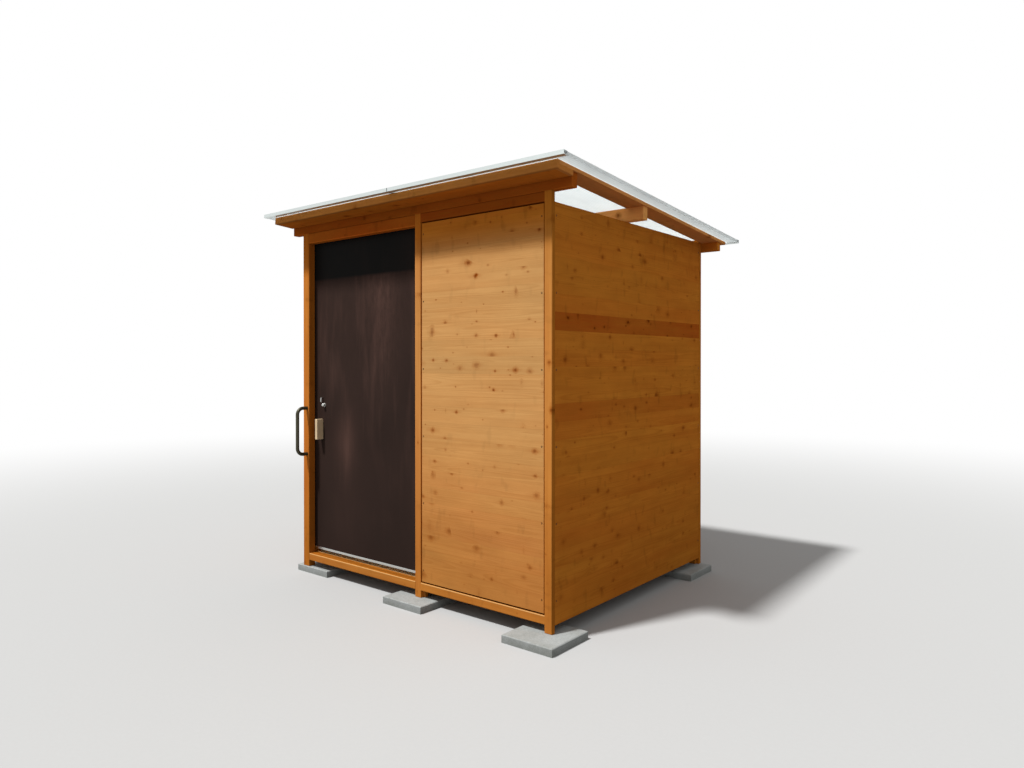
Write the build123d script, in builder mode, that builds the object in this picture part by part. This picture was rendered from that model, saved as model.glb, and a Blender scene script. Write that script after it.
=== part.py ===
"""Wooden outhouse: rebated post frame on paving slabs, board walls, sliding door, lean-to roof.

Millimetres, +Z up. The origin is on the ground under the middle of the roof, the door faces -Y.
"""
from build123d import *
import math
import os

os.makedirs("parts", exist_ok=True)

# Frame, measured over the outer faces of the corner posts
frame_width = 1980
frame_depth = 1650
front_post_top = 2174
door_opening_right = 46

# Paving slabs under the posts, their centres measured from the posts' outer corners
slab_size = 300
slab_thickness = 40
slab_edge = 4
slab_front_left_shift = (97, 145)
slab_front_middle_shift = (6, 40)
slab_front_right_shift = (-47, 7)
slab_rear_left_shift = (90, -135)
slab_rear_middle_shift = (20, -135)
slab_rear_right_shift = (-80, -143)

# Post and rail timber
post_width = 60
post_depth = 45
post_face = 45
edge_radius = 3
foot_chamfer = 2

# Rails and headers, heights seen from the front
base_height = 80
rail_face = 45
header_face = 50
sill_depth = 60

# Wall panels
panel_thickness = 19
panel_recess = 3
panel_joint = 7
side_front_strip = 22
side_front_joint = 1
side_rear_strip = 27
side_rear_joint = 3

# Roof timber
roof_pitch = 4.4
beam_depth = 45
beam_height = 74
beam_overhang = 110
beam_chamfer = 2
front_beam_setback = 5
middle_beam_distance = 682
rear_beam_height = 55
board_thickness = 18
verge_width = 120
fascia_height = 43
fascia_thickness = 18
fascia_reach = 127
rear_board_reach = 105
rear_board_clearance = 3
return_width = 20

# Roof sheets
sheet_thickness = 16
sheet_overhang = 185
front_nose = 41
rear_nose = 63
joint_web = 3
joint_cap_width = 50
joint_cap_thickness = 2
edge_profile_wall = 2.5
edge_profile_leg = 25

# Floor
deck_thickness = 18
joist_width = 60
joist_count = 4
joist_inset = 240

# Door leaf
leaf_thickness = 18
leaf_left_lap = 28
leaf_right_lap = 30
leaf_clearance = 6
leaf_top_lap = 12
leaf_chamfer = 1
foot_gap = 24
channel_height = 14
channel_wall = 2

# Sliding gear above the door
track_height = 30
track_wall = 2
track_slot = 12
track_end_gap = 25
wheel_diameter = 18
wheel_width = 6
wheel_gap = 0.3
wheel_side_gap = 1
axle_diameter = 6
bolt_diameter = 8
carriage_length = 60
carriage_height = 12
carriage_width = 5
carriage_inset = 110
hanger_width = 16
hanger_length = 70
hanger_thickness = 4
stop_length = 30
stop_gap = 5

# Guide under the door
guide_length = 50
guide_thickness = 8
guide_base_width = 24
guide_base_thickness = 4
guide_inset = 22
guide_clearance = 4

# Door pull, lock and staple
pull_width = 22
pull_depth = 47
pull_height = 129
pull_inset = 55
door_open_gap = 10
pull_centre_height = 922
pull_chamfer = 1.5
lock_inset = 93
lock_height = 1077
lock_rose_diameter = 26
lock_rose_thickness = 4
lock_knob_diameter = 20
lock_knob_length = 14
lock_knob_chamfer = 2
staple_inset = 74
staple_centre_height = 1108
staple_strip_width = 8
staple_strip_thickness = 3
staple_height = 34
staple_reach = 16
staple_bend = 8

# Grab handle on the left post
handle_diameter = 22
handle_centres = 294
handle_reach = 73
handle_bend = 40
handle_inset = 38
handle_height = 908

# Values worked out from the sizes above
left = -frame_width / 2
right = frame_width / 2
front = -frame_depth / 2
rear = frame_depth / 2
rebate_width = post_width - post_face
rebate_depth = panel_recess + panel_thickness
door_opening_left = left + post_width
post_inner_right = right - post_width
middle_post_right = door_opening_right + post_width
post_inner_front = front + post_depth
post_inner_rear = rear - post_depth
side_panel_inner = right - panel_thickness
rail_top = base_height + rail_face
header_bottom = front_post_top - header_face
header_height = header_face + rebate_width
door_header_bottom = front_post_top - header_height

pitch = math.radians(roof_pitch)
front_beam_y = front + front_beam_setback
middle_beam_y = front_beam_y + middle_beam_distance
board_line_front = front_post_top + beam_height


def board_line(y):
    """Height of the underside of the roof boards at a distance y."""
    return board_line_front - (y - front_beam_y) * math.tan(pitch)


def slope_distance(y, lift=0.0):
    """Distance along the roof plane of the point at y that lies lift above the plane."""
    return (y - lift * math.sin(pitch)) / math.cos(pitch)


roof_plane = Plane(
    origin=(0, 0, board_line(0)),
    x_dir=(1, 0, 0),
    z_dir=(0, math.sin(pitch), math.cos(pitch)),
)
middle_beam_bottom = board_line(middle_beam_y) - beam_height
rear_post_top = board_line(rear)


def finish(piece, name):
    """Name a finished piece and write its file."""
    piece.part.label = name
    export_step(piece.part, f"parts/{name}.step")


# Paving slabs, three to a row
post_corner_xs = (left, door_opening_right, right)
slab_rows = {
    "slabs_front": (front, (slab_front_left_shift, slab_front_middle_shift, slab_front_right_shift)),
    "slabs_rear": (rear, (slab_rear_left_shift, slab_rear_middle_shift, slab_rear_right_shift)),
}
for name, (wall_y, shifts) in slab_rows.items():
    with BuildPart() as slabs:
        with BuildSketch():
            for corner_x, shift in zip(post_corner_xs, shifts):
                with Locations((corner_x + shift[0], wall_y + shift[1])):
                    Rectangle(slab_size, slab_size)
        extrude(amount=slab_thickness)
        chamfer(slabs.faces().group_by(Axis.Z)[-1].edges(), slab_edge)
    finish(slabs, name)


# Posts: rebates on the outer side take the side panels, rebates in the face take the wall panels
def build_post(name, x, outer, wall, rebates, top, strip):
    """One post. x is its left face, outer is -1 or 1 where a side panel fits, 0 on a middle post.

    wall is -1 in the front wall and 1 in the rear wall, rebates lists the sides with a wall panel.
    """
    y_centre = wall * (rear - post_depth / 2)
    face_y = wall * rear
    with BuildPart() as post:
        with BuildSketch(Plane.XY.offset(slab_thickness)) as section:
            with Locations((x + post_width / 2, y_centre)):
                Rectangle(post_width, post_depth)
            fillet(section.vertices(), edge_radius)
            for side in rebates:
                edge_x = x + post_width / 2 + side * (post_width - rebate_width) / 2
                with Locations((edge_x, face_y - wall * rebate_depth / 2)):
                    Rectangle(rebate_width, rebate_depth, mode=Mode.SUBTRACT)
            if outer:
                lap = post_depth - strip
                lap_y = wall * (rear - post_depth + lap / 2)
                with Locations((outer * (right - panel_thickness / 2), lap_y)):
                    Rectangle(panel_thickness, lap, mode=Mode.SUBTRACT)
        extrude(amount=top - slab_thickness)
        chamfer(post.faces().sort_by(Axis.Z)[0].edges().filter_by(GeomType.LINE), foot_chamfer)
    finish(post, name)


build_post("post_front_left", left, -1, -1, (), front_post_top, side_front_strip)
build_post("post_front_middle", door_opening_right, 0, -1, (1,), front_post_top, 0)
build_post("post_front_right", post_inner_right, 1, -1, (-1,), front_post_top, side_front_strip)
build_post("post_rear_left", left, -1, 1, (1,), rear_post_top, side_rear_strip)
build_post("post_rear_middle", door_opening_right, 0, 1, (-1, 1), rear_post_top, 0)
build_post("post_rear_right", post_inner_right, 1, 1, (-1,), rear_post_top, side_rear_strip)

# Door sill and door header between the left and the middle post, the header without a rebate
door_centre_x = (door_opening_left + door_opening_right) / 2
door_opening_width = door_opening_right - door_opening_left

with BuildPart() as door_sill:
    with BuildSketch(Plane.XY.offset(base_height)):
        with Locations((door_centre_x, front + sill_depth / 2)):
            Rectangle(door_opening_width, sill_depth)
    extrude(amount=rail_face)
    fillet(door_sill.edges().filter_by(Axis.X), edge_radius)
finish(door_sill, "door_sill")

with BuildPart() as door_header:
    with BuildSketch(Plane.XY.offset(door_header_bottom)):
        with Locations((door_centre_x, front + post_depth / 2)):
            Rectangle(door_opening_width, post_depth)
    extrude(amount=header_height)
    fillet(door_header.edges().filter_by(Axis.X).group_by(Axis.Z)[0], edge_radius)
finish(door_header, "door_header")


# Rails and headers of the panel bays, rebated along the edge that holds the panel
def build_bay_timber(x_left, x_right, wall, low, high, rebate_at_top):
    """A rail or header of one bay, rebated at its top or its bottom edge.

    The part in front of the rebate runs on as tongues that fill the rebates of the posts.
    """
    face_y = wall * (rear - rebate_depth / 2)
    back_y = wall * (rear - (rebate_depth + post_depth) / 2)
    face_low = low if rebate_at_top else low + rebate_width
    x_centre = (x_left + x_right) / 2
    with BuildPart() as timber:
        with BuildSketch(Plane.XY.offset(low)):
            with Locations((x_centre, back_y)):
                Rectangle(x_right - x_left, post_depth - rebate_depth)
        extrude(amount=high - low)
        with BuildSketch(Plane.XY.offset(face_low)):
            with Locations((x_centre, face_y)):
                Rectangle(x_right - x_left + 2 * rebate_width, rebate_depth)
        extrude(amount=high - low - rebate_width)
        face_edges = timber.faces().sort_by(Axis.Y)[0 if wall < 0 else -1].edges()
        fillet(face_edges.filter_by(Axis.X), edge_radius)
    return timber


front_bay = (middle_post_right, post_inner_right)
rear_bays = ((door_opening_left, door_opening_right), (middle_post_right, post_inner_right))
rail_height = rail_face + rebate_width

panel_sill = build_bay_timber(*front_bay, -1, base_height, base_height + rail_height, True)
finish(panel_sill, "panel_sill")

panel_header = build_bay_timber(*front_bay, -1, front_post_top - header_height, front_post_top, False)
finish(panel_header, "panel_header")

for bay, side in zip(rear_bays, ("left", "right")):
    rear_sill = build_bay_timber(*bay, 1, base_height, base_height + rail_height, True)
    finish(rear_sill, f"rear_sill_{side}")
    rear_header = build_bay_timber(*bay, 1, rear_post_top - header_height, rear_post_top, False)
    finish(rear_header, f"rear_header_{side}")

# Side rails behind the side panels, between the corner posts
for side, name in ((-1, "side_rail_left"), (1, "side_rail_right")):
    with BuildPart() as side_rail:
        with BuildSketch(Plane.XY.offset(base_height)):
            with Locations((side * (side_panel_inner + post_inner_right) / 2, 0)):
                Rectangle(side_panel_inner - post_inner_right, post_inner_rear - post_inner_front)
        extrude(amount=rail_face)
    finish(side_rail, name)

# Floor: joists between the sills, and a deck that is level with the door sill
sill_rear = front + sill_depth
joist_height = rail_face - deck_thickness

outer_joist_x = post_inner_right - joist_inset
joist_step = 2 * outer_joist_x / (joist_count - 1)
joist_xs = [-outer_joist_x + joist_step * i for i in range(joist_count)]

with BuildPart() as floor_joists:
    with BuildSketch(Plane.XY.offset(base_height)):
        for x in joist_xs:
            joist_front = sill_rear if x < door_opening_right else post_inner_front
            with Locations((x, (joist_front + post_inner_rear) / 2)):
                Rectangle(joist_width, post_inner_rear - joist_front)
    extrude(amount=joist_height)
finish(floor_joists, "floor_joists")

with BuildPart() as floor_deck:
    with BuildSketch(Plane.XY.offset(base_height + joist_height)):
        with BuildLine():
            Polyline(
                (door_opening_left, sill_rear), (door_opening_right, sill_rear),
                (door_opening_right, post_inner_front), (post_inner_right, post_inner_front),
                (post_inner_right, post_inner_rear), (door_opening_left, post_inner_rear), close=True,
            )
        make_face()
    extrude(amount=deck_thickness)
finish(floor_deck, "floor_deck")


# Wall panels in the rebates, with a shadow joint all round
def build_bay_panel(x_left, x_right, wall, low, high):
    """A panel set back from the face of its wall; the limits are the edges of the visible timber."""
    face_y = wall * (rear - panel_recess)
    width = x_right - x_left - 2 * panel_joint
    height = high - low - 2 * panel_joint
    with BuildPart() as panel:
        with BuildSketch(Plane.XZ.offset(-face_y)):
            with Locations(((x_left + x_right) / 2, (low + high) / 2)):
                Rectangle(width, height)
        extrude(amount=wall * panel_thickness)
    return panel


front_panel = build_bay_panel(
    middle_post_right - rebate_width, post_inner_right + rebate_width, -1, rail_top, header_bottom
)
finish(front_panel, "front_panel")

rear_panel_top = rear_post_top - header_face
for bay, side in zip(rear_bays, ("left", "right")):
    rear_panel = build_bay_panel(bay[0] - rebate_width, bay[1] + rebate_width, 1, rail_top, rear_panel_top)
    finish(rear_panel, f"rear_panel_{side}")

side_panel_front = front + side_front_strip + side_front_joint
side_panel_rear = rear - side_rear_strip - side_rear_joint
for side, name in ((-1, "side_panel_left"), (1, "side_panel_right")):
    with BuildPart() as side_panel:
        with BuildSketch(Plane.XY.offset(base_height)):
            panel_centre_y = (side_panel_front + side_panel_rear) / 2
            with Locations((side * (right - panel_thickness / 2), panel_centre_y)):
                Rectangle(panel_thickness, side_panel_rear - side_panel_front)
        extrude(amount=middle_beam_bottom - base_height)
    finish(side_panel, name)


# Roof beams, their tops planed to the pitch
def build_beam(y_front, height):
    """A beam across the frame whose top follows the roof boards."""
    y_rear = y_front + beam_depth
    bottom = board_line(y_front) - height
    with BuildPart() as beam:
        with BuildSketch(Plane.YZ):
            with BuildLine():
                Polyline(
                    (y_front, bottom), (y_rear, bottom),
                    (y_rear, board_line(y_rear)), (y_front, board_line(y_front)), close=True,
                )
            make_face()
        extrude(amount=right + beam_overhang, both=True)
        chamfer(beam.edges().filter_by(Axis.X).group_by(Axis.Z)[0], beam_chamfer)
    return beam


finish(build_beam(front_beam_y, beam_height), "front_beam")
finish(build_beam(middle_beam_y, beam_height), "middle_beam")
finish(build_beam(rear, rear_beam_height), "rear_beam")

# Roof boards on the beams: verge boards at the sides, flat boards at the front and rear.
# The front board is stepped down in front of the beam and closes the eave flush with the fascia.
fascia_front = slope_distance(front - fascia_reach)
board_front = fascia_front + fascia_thickness
board_rear = slope_distance(rear + rear_board_reach)

for side, name in ((-1, "verge_board_left"), (1, "verge_board_right")):
    with BuildPart() as verge_board:
        with BuildSketch(roof_plane):
            with Locations((side * (right + verge_width / 2), (board_front + board_rear) / 2)):
                Rectangle(verge_width, board_rear - board_front)
        extrude(amount=board_thickness)
    finish(verge_board, name)

fascia_drop = fascia_height - board_thickness
fascia_half_length = right + verge_width
return_rear = slope_distance(front_beam_y)
front_board_rear = slope_distance(front_beam_y + beam_depth)

with BuildPart() as front_board:
    with BuildSketch(roof_plane):
        with Locations((0, (board_front + front_board_rear) / 2)):
            Rectangle(frame_width, front_board_rear - board_front)
    extrude(amount=board_thickness)
    with BuildSketch(roof_plane.offset(-fascia_drop)):
        with Locations((0, (board_front + return_rear) / 2)):
            Rectangle(2 * (fascia_half_length - return_width), return_rear - board_front)
    extrude(amount=fascia_drop)
finish(front_board, "front_board")

rear_board_front = slope_distance(side_panel_rear + rear_board_clearance)
with BuildPart() as rear_board:
    with BuildSketch(roof_plane):
        with Locations((0, (rear_board_front + board_rear) / 2)):
            Rectangle(frame_width, board_rear - rear_board_front)
    extrude(amount=board_thickness)
finish(rear_board, "rear_board")

# Front fascia on the ends of the boards, and the short returns back to the front beam
with BuildPart() as fascia:
    with BuildSketch(roof_plane.offset(-fascia_drop)):
        with Locations((0, fascia_front + fascia_thickness / 2)):
            Rectangle(2 * fascia_half_length, fascia_thickness)
    extrude(amount=fascia_height)
    fillet(fascia.faces().sort_by(Axis.Y)[0].edges().filter_by(Axis.X), edge_radius)
finish(fascia, "front_fascia")

with BuildPart() as fascia_returns:
    with BuildSketch(roof_plane.offset(-fascia_drop)):
        with Locations(
            (-fascia_half_length + return_width / 2, (board_front + return_rear) / 2),
            (fascia_half_length - return_width / 2, (board_front + return_rear) / 2),
        ):
            Rectangle(return_width, return_rear - board_front)
    extrude(amount=fascia_drop)
finish(fascia_returns, "fascia_returns")

# Translucent roof sheets, closed at the eaves by channel profiles and joined by a capped web
sheet_low = board_thickness
sheet_high = sheet_low + sheet_thickness
profile_low = sheet_low - edge_profile_wall
profile_high = sheet_high + edge_profile_wall
eave_front = slope_distance(front - fascia_reach - front_nose, profile_low)
eave_rear = slope_distance(rear + rear_board_reach + rear_nose, profile_high)
sheet_front = eave_front + edge_profile_wall
sheet_rear = eave_rear - edge_profile_wall
sheet_inner = joint_web / 2
sheet_outer = right + sheet_overhang

for side, name in ((-1, "roof_sheet_left"), (1, "roof_sheet_right")):
    with BuildPart() as roof_sheet:
        with BuildSketch(roof_plane.offset(sheet_low)):
            with Locations((side * (sheet_inner + sheet_outer) / 2, (sheet_front + sheet_rear) / 2)):
                Rectangle(sheet_outer - sheet_inner, sheet_rear - sheet_front)
        extrude(amount=sheet_thickness)
    finish(roof_sheet, name)

with BuildPart() as joint_profile:
    with BuildSketch(roof_plane.offset(sheet_low)):
        with Locations((0, (sheet_front + sheet_rear) / 2)):
            Rectangle(joint_web, sheet_rear - sheet_front)
    extrude(amount=sheet_thickness)
    with BuildSketch(roof_plane.offset(sheet_high)):
        with Locations((0, (sheet_front + sheet_rear) / 2)):
            Rectangle(joint_cap_width, sheet_rear - sheet_front - 2 * edge_profile_leg)
    extrude(amount=joint_cap_thickness)
finish(joint_profile, "roof_joint_profile")


def build_edge_profile(eave, inward):
    """Channel that wraps one eave of the sheets; inward is 1 at the front and -1 at the rear."""
    leg_end = eave + inward * (edge_profile_wall + edge_profile_leg)
    web_end = eave + inward * edge_profile_wall
    with BuildPart() as profile:
        with BuildSketch(roof_plane.offset(profile_low)):
            with Locations((0, (eave + leg_end) / 2)):
                Rectangle(2 * sheet_outer, abs(leg_end - eave))
        extrude(amount=profile_high - profile_low)
        with BuildSketch(roof_plane.offset(sheet_low)):
            with Locations((0, (web_end + leg_end) / 2)):
                Rectangle(2 * sheet_outer, abs(leg_end - web_end))
        extrude(amount=sheet_thickness, mode=Mode.SUBTRACT)
    return profile


finish(build_edge_profile(eave_front, 1), "front_edge_profile")
finish(build_edge_profile(eave_rear, -1), "rear_edge_profile")

# Door leaf of dark plywood with a light channel let into its foot
leaf_front = post_inner_front + leaf_clearance
leaf_centre_y = leaf_front + leaf_thickness / 2
leaf_left = door_opening_left - leaf_left_lap
leaf_right = door_opening_right + leaf_right_lap
leaf_width = leaf_right - leaf_left
leaf_centre_x = (leaf_left + leaf_right) / 2
channel_bottom = rail_top + foot_gap
leaf_bottom = channel_bottom + channel_height
leaf_top = door_header_bottom + leaf_top_lap

with BuildPart() as door_leaf:
    with BuildSketch(Plane.XY.offset(leaf_bottom)):
        with Locations((leaf_centre_x, leaf_centre_y)):
            Rectangle(leaf_width, leaf_thickness)
    extrude(amount=leaf_top - leaf_bottom)
    chamfer(door_leaf.edges().filter_by(Axis.Z), leaf_chamfer)
finish(door_leaf, "door_leaf")

with BuildPart() as door_foot_channel:
    with BuildSketch(Plane.YZ.offset(leaf_left)):
        with Locations((leaf_centre_y, channel_bottom + channel_height / 2)):
            Rectangle(leaf_thickness, channel_height)
        with Locations((leaf_centre_y, channel_bottom + (channel_height - channel_wall) / 2)):
            Rectangle(leaf_thickness - 2 * channel_wall, channel_height - channel_wall, mode=Mode.SUBTRACT)
    extrude(amount=leaf_width)
finish(door_foot_channel, "door_foot_channel")

# Guide that stands on the sill and runs in the door's foot channel
guide_centre = door_opening_right - guide_inset
guide_top = channel_bottom + channel_height - channel_wall - guide_clearance
with BuildPart() as floor_guide:
    with BuildSketch(Plane.XY.offset(rail_top)):
        with Locations((guide_centre, leaf_centre_y)):
            Rectangle(guide_length, guide_base_width)
    extrude(amount=guide_base_thickness)
    with BuildSketch(Plane.XY.offset(rail_top + guide_base_thickness)):
        with Locations((guide_centre, leaf_centre_y)):
            SlotOverall(guide_length, guide_thickness)
    extrude(amount=guide_top - rail_top - guide_base_thickness)
finish(floor_guide, "floor_guide")

# Top track, a slotted box against the rear faces of the headers, centred over the leaf
track_width = 2 * (leaf_centre_y - post_inner_front)
track_top = front_post_top
track_bottom = track_top - track_height
track_half_length = side_panel_inner - track_end_gap

with BuildPart() as door_track:
    with BuildSketch(Plane.YZ):
        with Locations((leaf_centre_y, (track_top + track_bottom) / 2)):
            Rectangle(track_width, track_height)
            Rectangle(track_width - 2 * track_wall, track_height - 2 * track_wall, mode=Mode.SUBTRACT)
        with Locations((leaf_centre_y, track_bottom + track_wall / 2)):
            Rectangle(track_slot, track_wall, mode=Mode.SUBTRACT)
    extrude(amount=track_half_length, both=True)
finish(door_track, "door_track")

# Carriages: four wheels on each, hung from the track's lips and bolted to the leaf
wheel_z = track_bottom + track_wall + wheel_gap + wheel_diameter / 2
carriage_xs = (leaf_left + carriage_inset, leaf_right - carriage_inset)
axle_spread = carriage_length - wheel_diameter
wheel_gauge = track_width / 2 - track_wall - wheel_side_gap - wheel_width / 2

with BuildPart() as door_carriages:
    with BuildSketch(Plane.XZ.offset(-(leaf_centre_y + carriage_width / 2))):
        with Locations(*[(x, wheel_z) for x in carriage_xs]):
            Rectangle(carriage_length, carriage_height)
    extrude(amount=carriage_width)
    with BuildSketch(Plane.XZ.offset(-(leaf_centre_y + wheel_gauge + wheel_width / 2))):
        with Locations(*[(x, wheel_z) for x in carriage_xs]):
            with GridLocations(axle_spread, 1, 2, 1):
                Circle(axle_diameter / 2)
    extrude(amount=2 * wheel_gauge + wheel_width)
    for offset in (-wheel_gauge, wheel_gauge):
        with BuildSketch(Plane.XZ.offset(-(leaf_centre_y + offset + wheel_width / 2))):
            with Locations(*[(x, wheel_z) for x in carriage_xs]):
                with GridLocations(axle_spread, 1, 2, 1):
                    Circle(wheel_diameter / 2)
        extrude(amount=wheel_width)
    with BuildSketch(Plane.XY.offset(leaf_top)):
        with Locations(*[(x, leaf_centre_y) for x in carriage_xs]):
            Rectangle(hanger_length, hanger_width)
    extrude(amount=hanger_thickness)
    with BuildSketch(Plane.XY.offset(leaf_top + hanger_thickness)):
        with Locations(*[(x, leaf_centre_y) for x in carriage_xs]):
            Circle(bolt_diameter / 2)
    extrude(amount=wheel_z - leaf_top - hanger_thickness)
finish(door_carriages, "door_carriages")

# Door's travel, which ends with the pull or the lock beside the middle post
pull_left = door_opening_left + pull_inset
lock_right = door_opening_left + lock_inset + lock_rose_diameter / 2
door_travel = door_opening_right - door_open_gap - max(pull_left + pull_width, lock_right)

# Stops in the track, one at each end of the door's travel
stop_reach = carriage_length / 2 + stop_gap + stop_length / 2
stop_xs = (carriage_xs[0] - stop_reach, carriage_xs[1] + door_travel + stop_reach)
stop_width = track_width - 2 * track_wall
stop_height = track_height - 2 * track_wall
with BuildPart() as track_stops:
    with BuildSketch(Plane.XY.offset(track_bottom + track_wall)):
        with Locations(*[(x, leaf_centre_y) for x in stop_xs]):
            Rectangle(stop_length, stop_width)
    extrude(amount=stop_height)
finish(track_stops, "track_stops")

# Door pull, a block on the face of the leaf
with BuildPart() as door_pull:
    with BuildSketch(Plane.XZ.offset(-leaf_front)):
        with Locations((pull_left + pull_width / 2, pull_centre_height)):
            Rectangle(pull_width, pull_height)
    extrude(amount=pull_depth)
    chamfer(door_pull.faces().sort_by(Axis.Y)[0].edges(), pull_chamfer)
finish(door_pull, "door_pull")

# Round lock above the pull
lock_centre = (door_opening_left + lock_inset, lock_height)
with BuildPart() as door_lock:
    with BuildSketch(Plane.XZ.offset(-leaf_front)):
        with Locations(lock_centre):
            Circle(lock_rose_diameter / 2)
    extrude(amount=lock_rose_thickness)
    with BuildSketch(Plane.XZ.offset(-(leaf_front - lock_rose_thickness))):
        with Locations(lock_centre):
            Circle(lock_knob_diameter / 2)
    extrude(amount=lock_knob_length)
    chamfer(door_lock.faces().sort_by(Axis.Y)[0].edges(), lock_knob_chamfer)
finish(door_lock, "door_lock")

# Bent strip staple beside the lock
staple_x = door_opening_left + staple_inset
staple_front = leaf_front - staple_reach
with BuildPart() as door_staple:
    with BuildSketch(Plane.YZ.offset(staple_x - staple_strip_width / 2)):
        with Locations((leaf_front - staple_reach / 2, staple_centre_height)):
            Rectangle(staple_reach, staple_height)
            Rectangle(staple_reach, staple_height - 2 * staple_strip_thickness, mode=Mode.SUBTRACT)
        with Locations((staple_front + staple_strip_thickness / 2, staple_centre_height)):
            Rectangle(staple_strip_thickness, staple_height)
    extrude(amount=staple_strip_width)
    outer_corners = door_staple.edges().filter_by(Axis.X).group_by(Axis.Y)[0]
    fillet(outer_corners, staple_bend)
    inner_corners = door_staple.edges().filter_by(Axis.X).filter_by_position(
        Axis.Y, staple_front + staple_strip_thickness - 0.1, staple_front + staple_strip_thickness + 0.1
    )
    fillet(inner_corners, staple_bend - staple_strip_thickness)
finish(door_staple, "door_staple")

# Bent grab handle on the left post
handle_x = left + handle_inset
handle_low = handle_height - handle_centres / 2
handle_high = handle_height + handle_centres / 2
handle_front = front - handle_reach
with BuildPart() as grab_handle:
    with BuildLine() as handle_path:
        FilletPolyline(
            (handle_x, front, handle_low), (handle_x, handle_front, handle_low),
            (handle_x, handle_front, handle_high), (handle_x, front, handle_high),
            radius=handle_bend,
        )
    with BuildSketch(Plane.XZ.offset(-front)):
        with Locations((handle_x, handle_low)):
            Circle(handle_diameter / 2)
    sweep(path=handle_path.wires()[0])
finish(grab_handle, "grab_handle")
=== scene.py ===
"""Wooden outhouse: the finish of every piece and the small fixings, built around the packed frame."""
import math
from collections import namedtuple

import bmesh
import bpy
from bpy.props import FloatProperty, FloatVectorProperty, IntProperty, PointerProperty
from mathutils import Matrix, Vector


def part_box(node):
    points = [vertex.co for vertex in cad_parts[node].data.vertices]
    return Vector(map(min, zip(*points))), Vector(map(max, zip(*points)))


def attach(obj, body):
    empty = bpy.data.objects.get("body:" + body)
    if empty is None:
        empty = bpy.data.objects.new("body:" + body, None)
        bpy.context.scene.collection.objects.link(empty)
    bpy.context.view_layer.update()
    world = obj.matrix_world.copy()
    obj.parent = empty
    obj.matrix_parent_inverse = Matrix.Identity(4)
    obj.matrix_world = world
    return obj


bl_info = {
    "name": "Wooden Outhouse",
    "version": (1, 0, 0),
    "blender": (4, 5, 0),
    "location": "View3D > Sidebar > Outhouse",
    "description": "Finishes a timber outhouse with a sliding door and adds its screws",
    "category": "Object",
}

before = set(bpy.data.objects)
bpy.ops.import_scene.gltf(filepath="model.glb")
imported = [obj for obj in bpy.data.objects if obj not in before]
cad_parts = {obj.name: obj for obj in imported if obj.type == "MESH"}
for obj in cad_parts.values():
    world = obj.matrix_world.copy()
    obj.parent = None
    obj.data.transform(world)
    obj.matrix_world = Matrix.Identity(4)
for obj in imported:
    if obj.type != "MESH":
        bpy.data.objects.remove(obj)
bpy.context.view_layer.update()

# Which way the grain runs in each timber: along, across the visible face, through the thickness
POSTS = {f"post_{row}_{place}": "ZXY" for row in ("front", "rear") for place in ("left", "middle", "right")}
RAILS = {
    "door_sill": "XZY", "door_header": "XZY",
    "panel_sill": "XZY", "panel_header": "XZY",
    "rear_sill_left": "XZY", "rear_sill_right": "XZY",
    "rear_header_left": "XZY", "rear_header_right": "XZY",
    "side_rail_left": "YZX", "side_rail_right": "YZX",
}
ROOF_TIMBERS = {
    "front_beam": "XZY",
    "middle_beam": "XZY",
    "rear_beam": "XZY",
    "front_fascia": "XZY",
    "fascia_returns": "YZX",
    "verge_board_left": "YXZ",
    "verge_board_right": "YXZ",
    "front_board": "XYZ",
    "rear_board": "XYZ",
}
WALL_PANELS = {
    "front_panel": "XZY",
    "rear_panel_left": "XZY",
    "rear_panel_right": "XZY",
    "side_panel_left": "YZX",
    "side_panel_right": "YZX",
}

# What sets a piece's wood apart: bleach, sun bleach that is also painted light on the front; pale wood all
# over, which on the middle beam is painted light; red wood, which also darkens a piece, and on the headers
# and the front beam this is painted shade under the eave; light, a brightness gain that is painted light,
# such as light through the roof on the middle beam and bounce under the eave; a painted highlight on the
# upper arris; and edges, a painted highlight on the lower or left edge with painted shade on the upper or
# right one
TONES = {
    "front_panel": {"bleach_and_painted_light": 0.85},
    "post_front_left": {"bleach_and_painted_light": 0.1, "red": 0.1, "edges": 0.5},
    "post_front_middle": {"bleach_and_painted_light": 0.45, "edges": 0.6},
    "post_front_right": {"bleach_and_painted_light": 0.3, "edges": 0.5},
    "panel_sill": {"bleach_and_painted_light": 0.35, "edges": -0.5, "wear_and_painted_light": 0.9},
    "door_sill": {"bleach_and_painted_light": 0.45, "edges": -0.5, "wear_and_painted_light": 0.9},
    "front_beam": {"red": 0.5, "edges": 0.6},
    "door_header": {"red": 0.7, "edges": 1.0, "light": 1.15},
    "panel_header": {"red": 0.8, "edges": 0.6},
    "front_fascia": {"pale": 0.25, "red": 0.15, "edges": -0.4, "light": 1.1},
    "front_board": {"red": 0.3, "light": 1.25},
    "fascia_returns": {"pale": 0.25, "red": 0.15, "light": 1.1},
    "middle_beam": {"pale": 0.5, "light": 1.6},
    "rear_beam": {"red": 0.2, "light": 1.1},
    **dict.fromkeys(("verge_board_left", "verge_board_right"), {"pale": 0.4, "red": 0.6, "light": 1.55}),
}
# The redder strips of each wall panel, counted from its foot, and how red they are
DARK_ROWS = {
    "front_panel": ((3, 0.1),),
    "rear_panel_left": ((5, 0.35), (12, 0.2)),
    "rear_panel_right": ((15, 0.35), (9, 0.2)),
    "side_panel_left": ((7, 0.4), (15, 0.2)),
    "side_panel_right": ((16, 0.42), (11, 0.16), (6, 0.1)),
}

# Radii of the smallest and the largest knot
KNOT_RADII = (0.006, 0.0145)
PIN_RADII = (0.0024, 0.0052)
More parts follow.
